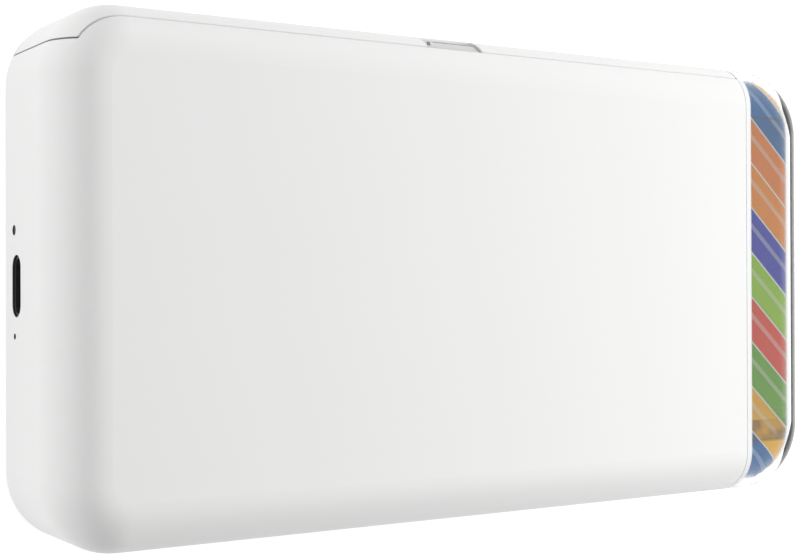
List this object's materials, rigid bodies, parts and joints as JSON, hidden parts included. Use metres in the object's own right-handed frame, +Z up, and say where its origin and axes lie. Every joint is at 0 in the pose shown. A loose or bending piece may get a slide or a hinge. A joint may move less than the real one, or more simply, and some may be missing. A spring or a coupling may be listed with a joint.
{
  "type": "compact photo printer",
  "caption": "Pocket photo printer: slim white rounded case, hinged side door with a latch key, clear exit cap over a coloured film, USB-C inlet, paper and ribbon cartridge inside.",
  "frame": {"origin": "centre of the footprint, on the surface that the feet stand on", "axes": "+X towards the clear exit end, +Y towards the hinged side door, +Z up out of the large plain face"},
  "size_m": [0.15, 0.08, 0.027],
  "materials": {
    "white_shell": "fine satin moulding",
    "back_shell": "fine matt moulding",
    "soft_feet": "matt",
    "steel": "satin",
    "key_grey": "satin",
    "clear_acrylic": "polished clear",
    "printed_film": "glossy colour bars",
    "dark_plastic": "matt",
    "socket_metal": "satin",
    "led_white": "gloss",
    "board_green": "solder resist",
    "battery_wrap": "foil wrap",
    "grey_plastic": "matt",
    "head_ceramic": "glazed",
    "aluminium": "satin",
    "roller_rubber": "ground rubber",
    "gear_plastic": "satin",
    "brass": "satin",
    "ribbon_dark": "thin film",
    "paper": "gloss coated"
  },
  "bodies": {
    "root": {"top_housing": "white_shell", "back_cover": "back_shell", "rubber_feet": "soft_feet", "cover_screws": "steel", "hinge_pins": "steel", "latch_finger": "steel", "clear_end_cap": "clear_acrylic", "color_film": "printed_film", "cap_carrier": "white_shell", "exit_bezel": "dark_plastic", "usb_receptacle": "socket_metal", "light_pipe": "dark_plastic", "status_led": "led_white", "reset_switch": "dark_plastic", "power_switch": "dark_plastic", "main_board": "board_green", "shield_can": "steel", "battery_pack": "battery_wrap", "battery_bracket": "grey_plastic", "chassis_frame": "grey_plastic", "top_bridge": "steel", "frame_screws": "steel", "head_springs": "steel", "feed_motor": "aluminium", "cartridge_tray": "grey_plastic", "cartridge_lid": "grey_plastic", "ribbon_film": "ribbon_dark", "paper_stack": "paper", "pressure_plate": "steel", "pressure_spring": "steel"},
    "side_door": {"side_door": "white_shell"},
    "latch": {"latch_button": "key_grey"},
    "power": {"power_button": "white_shell"},
    "reset": {"reset_plunger": "key_grey"},
    "head": {"print_head": "head_ceramic", "heat_sink": "aluminium", "head_bracket": "steel"},
    "capstan": {"capstan_roller": "steel", "capstan_gear": "gear_plastic"},
    "platen": {"platen_roller": "roller_rubber", "platen_shaft": "steel"},
    "pinch": {"pinch_roller": "roller_rubber"},
    "pickup": {"pickup_roller": "roller_rubber"},
    "motor": {"motor_pinion": "brass"},
    "takeup": {"takeup_hub": "gear_plastic", "takeup_spool": "dark_plastic"},
    "supply": {"supply_spool": "dark_plastic"}
  },
  "joints": [
    {"name": "door_hinge", "type": "hinge", "parent": "root", "child": "side_door", "pos_m": [0, 0.036, 0.0045], "axis": [-1, 0, 0], "range_deg": [0, 90], "deforming": ["latch_finger"]},
    {"name": "latch_press", "type": "slide", "parent": "side_door", "child": "latch", "axis": [0, -1, 0], "range_m": [0, 0.001], "stiffness_N_per_m": 400, "deforming": ["latch_finger"]},
    {"name": "power_press", "type": "slide", "parent": "root", "child": "power", "axis": [0, 1, 0], "range_m": [0, 0.0006], "stiffness_N_per_m": 800},
    {"name": "reset_press", "type": "slide", "parent": "root", "child": "reset", "axis": [1, 0, 0], "range_m": [0, 0.0003], "stiffness_N_per_m": 800},
    {"name": "head_lift", "type": "slide", "parent": "root", "child": "head", "axis": [0, 0, 1], "range_m": [0, 0.001], "stiffness_N_per_m": 600, "deforming": ["head_springs"]},
    {"name": "capstan_spin", "type": "hinge", "parent": "root", "child": "capstan", "pos_m": [0.0592, 0, 0.00985], "axis": [0, 1, 0], "continuous": true},
    {"name": "motor_spin", "type": "hinge", "parent": "root", "child": "motor", "pos_m": [0.0527, 0, 0.00695], "axis": [0, 1, 0], "continuous": true},
    {"name": "takeup_spin", "type": "hinge", "parent": "root", "child": "takeup", "pos_m": [0.0525, 0, 0.01743], "axis": [0, 1, 0], "continuous": true},
    {"name": "supply_spin", "type": "hinge", "parent": "root", "child": "supply", "pos_m": [0.036, 0, 0.01743], "axis": [0, 1, 0], "continuous": true},
    {"name": "platen_spin", "type": "hinge", "parent": "root", "child": "platen", "pos_m": [0.0445, 0, 0.00865], "axis": [0, 1, 0], "continuous": true},
    {"name": "pinch_spin", "type": "hinge", "parent": "root", "child": "pinch", "pos_m": [0.0592, 0, 0.01415], "axis": [0, 1, 0], "continuous": true},
    {"name": "pickup_spin", "type": "hinge", "parent": "root", "child": "pickup", "pos_m": [0.02, 0, 0.007], "axis": [0, 1, 0], "continuous": true}
  ],
  "couplings": [
    {"joint": "motor_spin", "follows": "capstan_spin", "ratio": -1.8},
    {"joint": "takeup_spin", "follows": "capstan_spin", "ratio": -0.81818},
    {"joint": "supply_spin", "follows": "capstan_spin", "ratio": -0.70455},
    {"joint": "platen_spin", "follows": "capstan_spin", "ratio": 0.625},
    {"joint": "pinch_spin", "follows": "capstan_spin", "ratio": -1}
  ]
}
